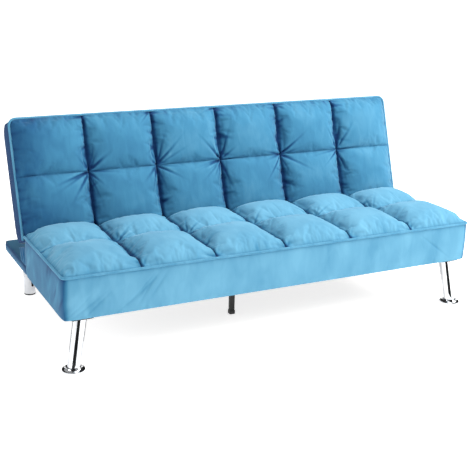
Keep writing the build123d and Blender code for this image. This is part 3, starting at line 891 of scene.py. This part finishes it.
def inflate(obj: Object, pins: np.ndarray, cap: float, ease: float) -> np.ndarray:
    """Blow a face up as cloth between its pinned seams.

    Args:
        obj: The face, in its own plane.
        pins: Pin strength of each vertex.
        cap: The furthest that a vertex may move, in metres.
        ease: How much larger than its place the cloth is cut, as a share.

    Returns:
        How far each vertex moved.
    """
    start = read_points(obj.data)
    group = obj.vertex_groups.new(name="pins")
    for level in np.unique(pins[pins > 0]):
        group.add(np.flatnonzero(pins == level).tolist(), float(level), "REPLACE")
    modifier = obj.modifiers.new("blow", "CLOTH")
    cloth = modifier.settings
    for name, value in CLOTH_SETTINGS.items():
        setattr(cloth, name, value)
    cloth.shrink_min = -ease
    cloth.effector_weights.gravity = 0.0
    modifier.collision_settings.use_collision = False
    modifier.point_cache.frame_start = 1
    modifier.point_cache.frame_end = CLOTH_STEPS
    scene = bpy.context.scene
    for step in range(1, CLOTH_STEPS + 1):
        scene.frame_set(step)
    shown = obj.evaluated_get(bpy.context.evaluated_depsgraph_get())
    travel = read_points(shown.data) - start
    obj.modifiers.remove(modifier)
    scene.frame_set(1)
    length = np.linalg.norm(travel, axis=1, keepdims=True)
    log.info("%s: cloth moved %.1f mm at most", obj.name, 1000 * float(length.max()))
    return travel * np.minimum(1.0, cap / np.maximum(length, 1e-9))


# ---- geometry-node pieces -------------------------------------------------------------
def node_tree(name: str, sizes: dict[str, str]) -> tuple[NodeTree, Node, dict[str, str]]:
    """Start a geometry node tree.

    Args:
        name: The tree's name.
        sizes: Input name to socket type, beside the geometry.

    Returns:
        The tree, its group input node, and each input's identifier.
    """
    tree = bpy.data.node_groups.new(name, "GeometryNodeTree")
    add = tree.interface.new_socket
    add(name="Geometry", in_out="INPUT", socket_type="NodeSocketGeometry")
    named = {
        label: add(name=label, in_out="INPUT", socket_type=kind).identifier
        for label, kind in sizes.items()
    }
    add(name="Geometry", in_out="OUTPUT", socket_type="NodeSocketGeometry")
    return tree, tree.nodes.new("NodeGroupInput"), named


def close_tree(tree: NodeTree, entry: Node, shape: NodeSocket) -> None:
    """Realise instances, set the material and end the tree.

    Args:
        tree: The tree.
        entry: Its group input, which holds the Material.
        shape: The geometry so far.
    """
    smooth = add_node(tree, "GeometryNodeSetShadeSmooth", {}, {"Geometry": shape})
    real = add_node(tree, "GeometryNodeRealizeInstances", {}, {"Geometry": smooth.outputs[0]})
    dress = {"Geometry": real.outputs[0], "Material": entry.outputs["Material"]}
    dressed = add_node(tree, "GeometryNodeSetMaterial", {}, dress)
    add_node(tree, "NodeGroupOutput", {}, {0: dressed.outputs[0]})


def welt_tree() -> tuple[NodeTree, dict[str, str]]:
    """Build the tree that sweeps a puckered round cord along a path.

    Returns:
        The tree and its inputs' identifiers.
    """
    sizes = {
        "Radius": "NodeSocketFloat",
        "Pucker": "NodeSocketFloat",
        "Material": "NodeSocketMaterial",
    }
    tree, entry, named = node_tree("welt along a path", sizes)
    path = add_node(tree, "GeometryNodeMeshToCurve", {}, {"Mesh": entry.outputs["Geometry"]})
    lumps = add_node(tree, "ShaderNodeTexNoise", {}, {"Scale": 55.0, "Detail": 1.0})
    scaled = {0: lumps.outputs[0], 1: entry.outputs["Pucker"], 2: 0.94}
    swell = add_node(tree, "ShaderNodeMath", {"operation": "MULTIPLY_ADD"}, scaled)
    thick = {"Curve": path.outputs[0], "Radius": swell.outputs[0]}
    cord = add_node(tree, "GeometryNodeSetCurveRadius", {}, thick)
    round_section = {"Resolution": 12, "Radius": entry.outputs["Radius"]}
    ring = add_node(tree, "GeometryNodeCurvePrimitiveCircle", {}, round_section)
    sweep = {"Curve": cord.outputs[0], "Profile Curve": ring.outputs[0], "Fill Caps": True}
    tube = add_node(tree, "GeometryNodeCurveToMesh", {}, sweep)
    close_tree(tree, entry, tube.outputs[0])
    return tree, named


def staple_tree() -> tuple[NodeTree, dict[str, str]]:
    """Build the tree that sets staples evenly along a path.

    Returns:
        The tree and its inputs' identifiers.
    """
    sizes = {
        "Gap": "NodeSocketFloat",
        "Crown": "NodeSocketVector",
        "Material": "NodeSocketMaterial",
    }
    tree, entry, named = node_tree("staples along a path", sizes)
    path = add_node(tree, "GeometryNodeMeshToCurve", {}, {"Mesh": entry.outputs["Geometry"]})
    spacing = {"Curve": path.outputs[0], "Length": entry.outputs["Gap"]}
    even = add_node(tree, "GeometryNodeResampleCurve", {"mode": "LENGTH"}, spacing)
    wire = add_node(tree, "GeometryNodeMeshCube", {}, {"Size": entry.outputs["Crown"]})
    tangent = add_node(tree, "GeometryNodeInputTangent", {}, {})
    along = {"Vector": tangent.outputs[0]}
    turn = add_node(tree, "FunctionNodeAlignRotationToVector", {"axis": "X"}, along)
    copies = {
        "Points": even.outputs[0],
        "Instance": wire.outputs[0],
        "Rotation": turn.outputs[0],
    }
    placed = add_node(tree, "GeometryNodeInstanceOnPoints", {}, copies)
    close_tree(tree, entry, placed.outputs[0])
    return tree, named


def grow(
    name: str,
    path: list[Vector],
    closed: bool,
    recipe: tuple[NodeTree, dict[str, str]],
    values: dict,
) -> Object:
    """Run a geometry node tree on a path and keep the result as a plain mesh.

    Args:
        name: The piece's name.
        path: Points of the path, in the row's frame.
        closed: Whether the last point joins the first.
        recipe: The tree and its inputs' identifiers.
        values: Input name to value.

    Returns:
        The piece.
    """
    tree, named = recipe
    count = len(path)
    links = [(i, i + 1) for i in range(count - 1)] + ([(count - 1, 0)] if closed else [])
    mesh = bpy.data.meshes.new(name + "_path")
    mesh.from_pydata([tuple(point) for point in path], links, [])
    guide = link_object(name + "_path", mesh)
    modifier = guide.modifiers.new("grow", "NODES")
    modifier.node_group = tree
    for label, value in values.items():
        modifier[named[label]] = value
    bpy.context.view_layer.update()
    shown = guide.evaluated_get(bpy.context.evaluated_depsgraph_get())
    made = bpy.data.meshes.new_from_object(shown)
    bpy.data.objects.remove(guide)
    return link_object(name, made)


@dataclass
class Welt:
    """A cord sewn round three sides of a cushion's face."""

    name: str
    body: str
    replaces: str
    cushion: Upholstery
    open_side: int
    radius: float = 5.2 * MM
    stop: float = 12 * MM

    def path(self) -> list[Vector]:
        """Return points along the welt, every few millimetres, in the row's frame."""
        half = self.cushion.half_width
        span = self.cushion.span
        r = self.cushion.corner
        step = 6 * MM
        far = span - self.stop
        quarter = np.linspace(0, math.pi / 2, 8)
        legs = [(-half, y) for y in np.arange(far, r, -step)]
        legs += [(-half + r - r * math.cos(a), r - r * math.sin(a)) for a in quarter]
        legs += [(x, 0.0) for x in np.arange(-half + r + step, half - r, step)]
        legs += [(half - r + r * math.sin(a), r - r * math.cos(a)) for a in quarter]
        legs += [(half, y) for y in np.arange(r + step, far, step)]
        if self.open_side < 0:
            legs = [(-x, span - y) for x, y in legs]
        return [self.cushion.place @ Vector((x, y, 0.6 * MM)) for x, y in legs]

    def make(self, recipe: tuple[NodeTree, dict[str, str]]) -> Object:
        """Build and dress the welt.

        Args:
            recipe: The welt tree and its inputs' identifiers.

        Returns:
            The finished piece.
        """
        values = {"Radius": self.radius, "Pucker": 0.14, "Material": finish("welt_velvet")}
        obj = grow(self.name, self.path(), False, recipe, values)
        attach(obj, self.body)
        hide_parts(self.replaces)
        log.info("%s: %d faces", self.name, len(obj.data.polygons))
        return obj


@dataclass
class HingeGusset:
    """A loose velvet pad at each end that hides the hinge between seat, platform and back.
    """

    side: int
    label: str
    reach: float = 70 * MM
    thick: float = 12 * MM
    crown: float = 4 * MM
    fold: float = 1.6 * MM
    inset: float = 5 * MM
    nap_and_shade: float = 0.3

    def make(self, back: Upholstery) -> Object:
        """Args:
            back: The back cushion, whose heel it reaches up to.

        Returns:
            The finished piece.
        """
        seat_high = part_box("seat_cover")[1]
        floor_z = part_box("base_cover")[1].z - 1 * MM
        heel = back.place @ Vector((0, 0, 0))
        rear = back.place @ Vector((0, 0, -BACK_THICK))
        corners = [
            (seat_high.y - 8 * MM, floor_z),
            (seat_high.y + self.reach, floor_z),
            (rear.y - 16 * MM, rear.z - 3 * MM),
            (heel.y, heel.z - 10 * MM),
        ]
        us, vs = np.meshgrid(np.linspace(0, 1, 31), np.linspace(0, 1, 25))
        weights = [(1 - us) * (1 - vs), us * (1 - vs), us * vs, (1 - us) * vs]
        y, z = (sum(w * c[axis] for w, c in zip(weights, corners)) for axis in (0, 1))
        plump = (np.sin(math.pi * us) * np.sin(math.pi * vs)) ** 0.4
        pleat = np.sin(us * 21 + 2.2 * vs) + 0.6 * np.sin(us * 35 - 3 * vs)
        face_x = seat_high.x - self.inset
        outer = face_x + self.crown * plump + self.fold * pleat * plump
        inner = np.full_like(us, face_x - self.thick)
        shell = [np.stack([self.side * x, y, z], -1).reshape(-1, 3) for x in (outer, inner)]
        count = us.size
        grid = np.arange(count).reshape(us.shape)
        quads = grid_quads(grid)
        edge = grid_edge(grid)
        rim = np.stack([edge, np.roll(edge, -1), np.roll(edge, -1) + count, edge + count], -1)
        faces = np.concatenate([quads, quads + count, rim]).tolist()
        name = f"{self.label}_hinge_gusset"
        mesh = new_mesh(name, np.concatenate(shell), faces)
        turn_outward(mesh)
        # The pad is painted dim for the shade between seat and back, and its pleats lighter and darker: painted
        # shade and highlight.
        write_nap_and_shade(mesh, np.tile(self.nap_and_shade + 0.12 * pleat.ravel(), 2))
        obj = new_object(name, mesh, finish("velvet"))
        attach(obj, "seat")
        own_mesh(obj)
        log.info("%s: %d faces", name, len(mesh.polygons))
        return obj


@dataclass
class DustCover:
    """Black spun-bonded sheet stapled under the platform, sagging a little between rails."""

    node: str = "dust_cover"
    sag: float = 2.4 * MM
    columns: int = 150
    rows: int = 72
    staple_gap: float = 62 * MM
    staple_inset: float = 14 * MM

    def make(self, recipe: tuple[NodeTree, dict[str, str]]) -> list[Object]:
        """Build the sheet and its staples.

        Args:
            recipe: The staple tree and its inputs' identifiers.

        Returns:
            The sheet and the staples.
        """
        low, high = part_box(self.node)
        xs = np.linspace(low.x, high.x, self.columns)
        ys = np.linspace(low.y, high.y, self.rows)
        x, y = np.meshgrid(xs, ys)
        u = (x - low.x) / (high.x - low.x)
        v = (y - low.y) / (high.y - low.y)
        loose = np.sin(math.pi * u) ** 0.4 * np.sin(math.pi * v) ** 0.4
        waves = np.sin(9 * math.pi * u + 1.3 * np.sin(4 * v)) * np.sin(5 * math.pi * v + 2 * u)
        z = high.z - 0.5 * MM - self.sag * loose * (0.35 + 0.65 * (0.5 + 0.5 * waves))
        points = np.stack([x, y, z], -1).reshape(-1, 3)
        grid = np.arange(len(points)).reshape(x.shape)
        faces = grid_quads(grid)[:, [0, 3, 2, 1]]  # turned over, as it faces down
        mesh = new_mesh("dust_sheet", points, faces.tolist())
        sheet = new_object("dust_sheet", mesh, finish("nonwoven"))
        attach(sheet, "seat")
        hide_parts(self.node)
        inset = self.staple_inset
        left, right, front, rear = low.x + inset, high.x - inset, low.y + inset, high.y - inset
        turns = ((left, front), (right, front), (right, rear), (left, rear))
        path = [Vector((*turn, high.z - 1.2 * MM)) for turn in turns]
        values = {
            "Gap": self.staple_gap,
            "Crown": (11 * MM, 1.2 * MM, 0.7 * MM),
            "Material": finish("zinc_steel"),
        }
        staples = grow("dust_cover_staples", path, True, recipe, values)
        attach(staples, "seat")
        log.info("dust_sheet: %d faces", len(mesh.polygons))
        return [sheet, staples]


# ---- the sofa -----------------------------------------------------------------------
@dataclass
class Sofa:
    """Reads the main places from the frame and holds the upholstery."""

    lean: float = math.radians(18.8)

    def seat(self) -> Upholstery:
        """Return the seat cushion."""
        low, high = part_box("seat_cover")
        welt_low, welt_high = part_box("seat_piping")
        level = (welt_low.z + welt_high.z) / 2
        return Upholstery(
            name="tufted_seat",
            body="seat",
            replaces=("seat_cover", "seat_foam"),
            place=Matrix.Translation((0, low.y, level)),
            half_width=high.x,
            span=high.y - low.y,
            corner=20 * MM,
            drop=level - low.z,
            columns=6,
            row_break=0.55 * (high.y - low.y),
            seam_rise=13 * MM,
            puff=35 * MM,
            tuft_sink=9 * MM,
            pucker=1.7 * MM,
            blow=Blow.CLOTH,
            seed=5,
            row_depth=0.56,
            pulls=9,
            # The seat's top is painted lightest and its left and right band darker: painted light and shade.
            nap_and_shade=0.92,
            band_ends_nap_and_shade=0.5,
            band_front_rear_nap_and_shade=0.9,
        )

    def back(self) -> Upholstery:
        """Return the back cushion, whose near edge is its heel."""
        cover_low, cover_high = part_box("back_cover")
        up = Vector((0, math.sin(self.lean), math.cos(self.lean)))
        out = Vector((0, -math.cos(self.lean), math.sin(self.lean)))
        hinge = frame["joints"][0]["pos_m"]
        heel_y = cover_high.y - BACK_LENGTH * up.y + BACK_THICK * out.y
        heel_z = cover_low.z + BACK_THICK * out.z
        turn = Matrix(((1, 0, 0), (0, up.y, out.y), (0, up.z, out.z))).to_4x4()
        log.info("back heel %.3f %.3f, hinge %.3f %.3f", heel_y, heel_z, hinge[1], hinge[2])
        return Upholstery(
            name="tufted_back",
            body="back",
            replaces=("back_cover", "back_foam"),
            place=Matrix.Translation((0, heel_y, heel_z)) @ turn,
            half_width=cover_high.x,
            span=BACK_LENGTH,
            corner=28 * MM,
            drop=BACK_THICK - 4 * MM,
            columns=6,
            row_break=265 * MM,
            seam_rise=13 * MM,
            puff=34 * MM,
            tuft_sink=9 * MM,
            pucker=2.4 * MM,
            blow=Blow.CLOTH,
            seed=11,
            row_depth=0.3,
            # The back is painted darker than the seat, with painted shade on each pillow's flank right of its seam
            # and over its left end, and the darker velvet copy on its ends.
            flank_shade=0.55,
            ease=0.045,
            end_shade=0.5,
            shaded_ends=True,
            nap_and_shade=0.62,
            band_ends_nap_and_shade=0.0,
            band_front_rear_nap_and_shade=0.5,
        )

    def platform(self) -> Upholstery:
        """Return the low padded platform behind the seat."""
        low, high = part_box("base_cover")
        low.y -= 26 * MM  # runs on inside the seat's cover, so that no timber shows between them
        return Upholstery(
            name="platform_cover",
            body="seat",
            replaces=("base_cover",),
            place=Matrix.Translation((0, low.y, high.z - 2 * MM)),
            half_width=high.x - 1.5 * MM,
            span=high.y - low.y,
            corner=20 * MM,
            drop=high.z - low.z - 2 * MM,
            row_break=0.5 * (high.y - low.y),
            seam_rise=3 * MM,
            edge_round=7 * MM,
            pucker=0.5 * MM,
            seed=3,
            margin=40 * MM,
            band_belly=1.0 * MM,
            nap_and_shade=0.6,
            band_ends_nap_and_shade=0.5,
        )

    def rear_panel(self, back: Upholstery) -> Upholstery:
        """Return the velvet-covered panel that closes the back's rear."""
        inset = 5 * MM
        turned = Matrix.Translation((0, 0, -BACK_THICK)) @ Matrix.Rotation(math.pi, 4, "Y")
        return Upholstery(
            name="rear_panel_cover",
            body="back",
            replaces=("back_rear_panel",),
            place=back.place @ turned @ Matrix.Translation((0, inset, -1 * MM)),
            half_width=back.half_width - inset,
            span=back.span - 2 * inset,
            corner=25 * MM,
            drop=3 * MM,
            row_break=0.5 * back.span,
            seam_rise=3 * MM,
            edge_round=2 * MM,
            pucker=0.4 * MM,
            seed=17,
            margin=30 * MM,
            band_belly=0.0,
            nap_and_shade=0.5,
        )


# ---- studio -------------------------------------------------------------------------
@dataclass
class Studio:
    """Pale floor, soft lights and the camera."""

    azimuth: float = math.radians(-27.1)
    elevation: float = math.radians(17.8)
    roll: float = math.radians(1.6)
    spot: tuple[float, float, float] = (-1.7475, -3.4026, 1.5184)
    lens: float = 71.55
    card_size: tuple[float, float, float] = (0.12, 0.004, 0.36)

    def camera(self) -> None:
        """Create the camera and make it the scene's."""
        az, el = self.azimuth, self.elevation
        back = Vector((math.sin(az) * math.cos(el), -math.cos(az) * math.cos(el), math.sin(el)))
        right = (-back).cross(Vector((0, 0, 1))).normalized()
        up = right.cross(-back)
        tilted = right * math.cos(self.roll) + up * math.sin(self.roll)
        upright = up * math.cos(self.roll) - right * math.sin(self.roll)
        turn = Matrix((tilted, upright, back)).transposed().to_4x4()
        data = bpy.data.cameras.new("camera")
        data.lens = self.lens
        data.sensor_width = 36.0
        camera = link_object("camera", data)
        camera.matrix_world = Matrix.Translation(self.spot) @ turn
        bpy.context.scene.camera = camera

    def area(
        self, name: str, spot: tuple, target: tuple, size: float, power: float, tint: str
    ) -> None:
        """Add a soft square light.

        Args:
            name: The light's name.
            spot: Where it stands, in metres.
            target: What it points at.
            size: Its side, in metres.
            power: Its power, in watts.
            tint: Its sRGB hex colour.
        """
        data = bpy.data.lights.new(name, "AREA")
        data.size = size
        data.energy = power
        data.color = linear(tint)[:3]
        light = link_object(name, data)
        light.location = spot
        light.rotation_euler = (Vector(target) - Vector(spot)).to_track_quat("-Z", "Y").to_euler()

    def card(self, centre: tuple[float, float, float], bearing: float) -> None:
        """Add an upright dark card that only gives the plated legs something to mirror.

        Args:
            centre: Its centre, in metres.
            bearing: Its turn about the upright, in radians.
        """
        mesh = bpy.data.meshes.new("dark card")
        work = bmesh.new()
        bmesh.ops.create_cube(work, size=1.0)
        bmesh.ops.scale(work, vec=self.card_size, verts=work.verts)
        bmesh.ops.rotate(work, matrix=Matrix.Rotation(bearing, 3, "Z"), verts=work.verts)
        bmesh.ops.translate(work, vec=centre, verts=work.verts)
        work.to_mesh(mesh)
        work.free()
        material, tree, _ = new_material("dark card paint")
        finish_surface(tree, {"Base Color": linear("#0B0C0D"), "Roughness": 0.9})
        mesh.materials.append(material)
        obj = link_object("dark card", mesh)
        obj.visible_diffuse = False
        obj.visible_shadow = False
        obj.visible_camera = False

    def floor(self) -> None:
        """Lay a large pale floor."""
        mesh = bpy.data.meshes.new("floor")
        reach = 30.0
        corners = [(-reach, -reach, 0), (reach, -reach, 0), (reach, reach, 0), (-reach, reach, 0)]
        mesh.from_pydata(corners, [], [(0, 1, 2, 3)])
        material, tree, _ = new_material("white seamless paper")
        paper = {"Base Color": linear("#F7F7F7"), "Roughness": 0.95}
        glow = {"Emission Color": linear("#FFFFFF"), "Emission Strength": 0.75}
        finish_surface(tree, paper | glow)
        mesh.materials.append(material)
        obj = link_object("floor", mesh)

    def world(self) -> None:
        """Set an even, dim white surrounding light that itself shows as plain white."""
        world = bpy.data.worlds.new("studio white")
        world.use_nodes = True
        background = world.node_tree.nodes["Background"]
        background.inputs["Color"].default_value = linear("#FFFFFF")
        sight = add_node(world.node_tree, "ShaderNodeLightPath", {}, {})
        to_camera = {"Value": sight.outputs["Is Camera Ray"], "To Min": 0.55, "To Max": 1.0}
        shown = add_node(world.node_tree, "ShaderNodeMapRange", {}, to_camera)
        world.node_tree.links.new(shown.outputs[0], background.inputs["Strength"])
        bpy.context.scene.world = world
        bpy.context.scene.view_settings.view_transform = "Standard"
        bpy.context.scene.view_settings.look = "None"

    def make(self) -> None:
        """Set the whole studio up."""
        self.world()
        self.floor()
        self.camera()
        self.area("key", (3.4, -2.0, 2.6), (0.2, 0.0, 0.4), 1.8, 235.0, "#FFFDF8")
        self.area("top", (0.6, -0.5, 3.4), (0.0, 0.0, 0.3), 2.0, 100.0, "#FFFFFF")
        self.area("left fill", (-3.2, -1.0, 1.3), (-0.9, 0.0, 0.3), 1.2, 26.0, "#FFFFFF")
        # A dark streak and two dark sides for each leg, at bearings from the camera's sight line.
        legs = ((-0.84, -0.4, -8), (0.84, -0.4, 38), (-0.81, 0.4, 60), (0.81, 0.4, 38))
        for across, along, streak in legs:
            ahead = math.atan2(self.spot[0] - across, along - self.spot[1])
            for degrees, away in ((streak, 0.13), (-146, 0.22), (146, 0.22)):
                bearing = ahead + math.radians(degrees)
                x, y = across + away * math.sin(bearing), along - away * math.cos(bearing)
                self.card((x, y, 0.12), bearing)
        log.info("studio ready")


def main() -> None:
    """Build the pieces, dress the frame and set the studio up."""
    dress_frame()
    sofa = Sofa()
    seat = sofa.seat()
    back = sofa.back()
    for cushion in (seat, back, sofa.platform(), sofa.rear_panel(back)):
        cushion.make()
    for side, label in ((-1, "left"), (1, "right")):
        HingeGusset(side, label).make(back)
    welt = welt_tree()
    Welt("seat_welt", "seat", "seat_piping", seat, 1).make(welt)
    Welt("back_welt", "back", "back_piping", back, -1).make(welt)
    DustCover().make(staple_tree())
    Studio().make()


if __name__ == "__main__":
    main()
